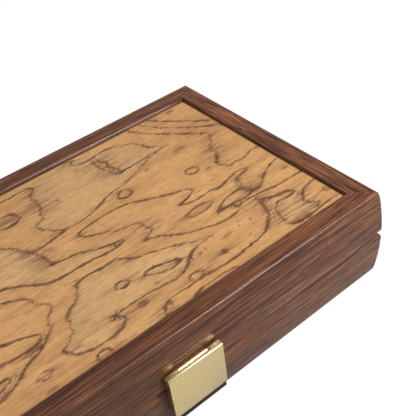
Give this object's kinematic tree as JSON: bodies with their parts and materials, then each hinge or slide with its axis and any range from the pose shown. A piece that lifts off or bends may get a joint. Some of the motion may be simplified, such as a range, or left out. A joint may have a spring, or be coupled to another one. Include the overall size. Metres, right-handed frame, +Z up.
{
  "type": "backgammon set",
  "caption": "Hinged wooden travel case with burl panels and a brass flap latch; opens flat into a backgammon board and stores checkers and dice.",
  "frame": {"origin": "middle of the closed case's footprint (latch and hinge barrels included), on the surface it rests on", "axes": "+X along the long side, -Y out of the latch side, +Y out of the hinge side, +Z up"},
  "size_m": [0.275, 0.184, 0.06],
  "materials": {
    "frame_wood": "satin lacquered dark straight-grained hardwood",
    "burl_veneer": "lacquered golden burl veneer",
    "field_wood": "satin veneered board",
    "point_pale": "satin inlaid pale veneer",
    "point_deep": "satin inlaid dark veneer",
    "brass": "satin brushed brass, polished edges",
    "steel": "drawn wire",
    "lip_black": "black, slightly glossy",
    "checker_pale": "turned, lacquered pale wood",
    "checker_deep": "turned, lacquered dark wood",
    "die_ivory": "ivory with black pips"
  },
  "bodies": {
    "base": {"base_rail_front": "frame_wood", "base_rail_back": "frame_wood", "base_rail_left": "frame_wood", "base_rail_right": "frame_wood", "base_panel": "burl_veneer", "base_field": "field_wood", "base_points_light": "point_pale", "base_points_dark": "point_deep", "hinge_leaves_base": "brass", "hinge_pins": "steel", "base_screws": "brass", "latch_catch": "brass"},
    "lid": {"lid_rail_front": "frame_wood", "lid_rail_back": "frame_wood", "lid_rail_left": "frame_wood", "lid_rail_right": "frame_wood", "lid_panel": "burl_veneer", "lid_field": "field_wood", "lid_points_light": "point_pale", "lid_points_dark": "point_deep", "hinge_leaves_lid": "brass", "lid_screws": "brass", "latch_plate": "brass", "latch_pin": "steel"},
    "latch_flap": {"latch_flap": "brass", "latch_spring": "steel", "latch_lip": "lip_black"},
    "die_1": {"die_1": "die_ivory"},
    "die_2": {"die_2": "die_ivory"},
    "checker_light_1": {"checker_light_1": "checker_pale"},
    "checker_light_2": {"checker_light_2": "checker_pale"},
    "checker_light_3": {"checker_light_3": "checker_pale"},
    "checker_light_4": {"checker_light_4": "checker_pale"},
    "checker_light_5": {"checker_light_5": "checker_pale"},
    "checker_light_6": {"checker_light_6": "checker_pale"},
    "checker_light_7": {"checker_light_7": "checker_pale"},
    "checker_light_8": {"checker_light_8": "checker_pale"},
    "checker_light_9": {"checker_light_9": "checker_pale"},
    "checker_light_10": {"checker_light_10": "checker_pale"},
    "checker_light_11": {"checker_light_11": "checker_pale"},
    "checker_light_12": {"checker_light_12": "checker_pale"},
    "checker_light_13": {"checker_light_13": "checker_pale"},
    "checker_light_14": {"checker_light_14": "checker_pale"},
    "checker_light_15": {"checker_light_15": "checker_pale"},
    "checker_dark_1": {"checker_dark_1": "checker_deep"},
    "checker_dark_2": {"checker_dark_2": "checker_deep"},
    "checker_dark_3": {"checker_dark_3": "checker_deep"},
    "checker_dark_4": {"checker_dark_4": "checker_deep"},
    "checker_dark_5": {"checker_dark_5": "checker_deep"},
    "checker_dark_6": {"checker_dark_6": "checker_deep"},
    "checker_dark_7": {"checker_dark_7": "checker_deep"},
    "checker_dark_8": {"checker_dark_8": "checker_deep"},
    "checker_dark_9": {"checker_dark_9": "checker_deep"},
    "checker_dark_10": {"checker_dark_10": "checker_deep"},
    "checker_dark_11": {"checker_dark_11": "checker_deep"},
    "checker_dark_12": {"checker_dark_12": "checker_deep"},
    "checker_dark_13": {"checker_dark_13": "checker_deep"},
    "checker_dark_14": {"checker_dark_14": "checker_deep"},
    "checker_dark_15": {"checker_dark_15": "checker_deep"}
  },
  "joints": [
    {"name": "case_lid_hinge", "type": "hinge", "parent": "base", "child": "lid", "pos_m": [0, 0.0896, 0.03], "axis": [-1, 0, 0], "range_deg": [0, 180]},
    {"name": "case_latch_flap", "type": "hinge", "parent": "lid", "child": "latch_flap", "pos_m": [0, -0.0888, 0.0406], "axis": [-1, 0, 0], "range_deg": [0, 90]},
    {"name": "checker_light_1_lift", "type": "slide", "parent": "base", "child": "checker_light_1", "axis": [0, 0, 1], "range_m": [0, 0.024]},
    {"name": "checker_light_2_lift", "type": "slide", "parent": "base", "child": "checker_light_2", "axis": [0, 0, 1], "range_m": [0, 0.024]},
    {"name": "checker_light_3_lift", "type": "slide", "parent": "base", "child": "checker_light_3", "axis": [0, 0, 1], "range_m": [0, 0.024]},
    {"name": "checker_light_4_lift", "type": "slide", "parent": "base", "child": "checker_light_4", "axis": [0, 0, 1], "range_m": [0, 0.024]},
    {"name": "checker_light_5_lift", "type": "slide", "parent": "base", "child": "checker_light_5", "axis": [0, 0, 1], "range_m": [0, 0.024]},
    {"name": "checker_light_6_lift", "type": "slide", "parent": "base", "child": "checker_light_6", "axis": [0, 0, 1], "range_m": [0, 0.024]},
    {"name": "checker_light_7_lift", "type": "slide", "parent": "base", "child": "checker_light_7", "axis": [0, 0, 1], "range_m": [0, 0.024]},
    {"name": "checker_light_8_lift", "type": "slide", "parent": "base", "child": "checker_light_8", "axis": [0, 0, 1], "range_m": [0, 0.024]},
    {"name": "checker_light_9_lift", "type": "slide", "parent": "base", "child": "checker_light_9", "axis": [0, 0, 1], "range_m": [0, 0.024]},
    {"name": "checker_light_10_lift", "type": "slide", "parent": "base", "child": "checker_light_10", "axis": [0, 0, 1], "range_m": [0, 0.024]},
    {"name": "checker_light_11_lift", "type": "slide", "parent": "base", "child": "checker_light_11", "axis": [0, 0, 1], "range_m": [0, 0.024]},
    {"name": "checker_light_12_lift", "type": "slide", "parent": "base", "child": "checker_light_12", "axis": [0, 0, 1], "range_m": [0, 0.024]},
    {"name": "checker_light_13_lift", "type": "slide", "parent": "base", "child": "checker_light_13", "axis": [0, 0, 1], "range_m": [0, 0.024]},
    {"name": "checker_light_14_lift", "type": "slide", "parent": "base", "child": "checker_light_14", "axis": [0, 0, 1], "range_m": [0, 0.024]},
    {"name": "checker_light_15_lift", "type": "slide", "parent": "base", "child": "checker_light_15", "axis": [0, 0, 1], "range_m": [0, 0.024]},
    {"name": "checker_dark_1_lift", "type": "slide", "parent": "base", "child": "checker_dark_1", "axis": [0, 0, 1], "range_m": [0, 0.024]},
    {"name": "checker_dark_2_lift", "type": "slide", "parent": "base", "child": "checker_dark_2", "axis": [0, 0, 1], "range_m": [0, 0.024]},
    {"name": "checker_dark_3_lift", "type": "slide", "parent": "base", "child": "checker_dark_3", "axis": [0, 0, 1], "range_m": [0, 0.024]},
    {"name": "checker_dark_4_lift", "type": "slide", "parent": "base", "child": "checker_dark_4", "axis": [0, 0, 1], "range_m": [0, 0.024]},
    {"name": "checker_dark_5_lift", "type": "slide", "parent": "base", "child": "checker_dark_5", "axis": [0, 0, 1], "range_m": [0, 0.024]},
    {"name": "checker_dark_6_lift", "type": "slide", "parent": "base", "child": "checker_dark_6", "axis": [0, 0, 1], "range_m": [0, 0.024]},
    {"name": "checker_dark_7_lift", "type": "slide", "parent": "base", "child": "checker_dark_7", "axis": [0, 0, 1], "range_m": [0, 0.024]},
    {"name": "checker_dark_8_lift", "type": "slide", "parent": "base", "child": "checker_dark_8", "axis": [0, 0, 1], "range_m": [0, 0.024]},
    {"name": "checker_dark_9_lift", "type": "slide", "parent": "base", "child": "checker_dark_9", "axis": [0, 0, 1], "range_m": [0, 0.024]},
    {"name": "checker_dark_10_lift", "type": "slide", "parent": "base", "child": "checker_dark_10", "axis": [0, 0, 1], "range_m": [0, 0.024]},
    {"name": "checker_dark_11_lift", "type": "slide", "parent": "base", "child": "checker_dark_11", "axis": [0, 0, 1], "range_m": [0, 0.024]},
    {"name": "checker_dark_12_lift", "type": "slide", "parent": "base", "child": "checker_dark_12", "axis": [0, 0, 1], "range_m": [0, 0.024]},
    {"name": "checker_dark_13_lift", "type": "slide", "parent": "base", "child": "checker_dark_13", "axis": [0, 0, 1], "range_m": [0, 0.024]},
    {"name": "checker_dark_14_lift", "type": "slide", "parent": "base", "child": "checker_dark_14", "axis": [0, 0, 1], "range_m": [0, 0.024]},
    {"name": "checker_dark_15_lift", "type": "slide", "parent": "base", "child": "checker_dark_15", "axis": [0, 0, 1], "range_m": [0, 0.024]},
    {"name": "die_1_lift", "type": "slide", "parent": "base", "child": "die_1", "axis": [0, 0, 1], "range_m": [0, 0.024]},
    {"name": "die_2_lift", "type": "slide", "parent": "base", "child": "die_2", "axis": [0, 0, 1], "range_m": [0, 0.024]}
  ]
}
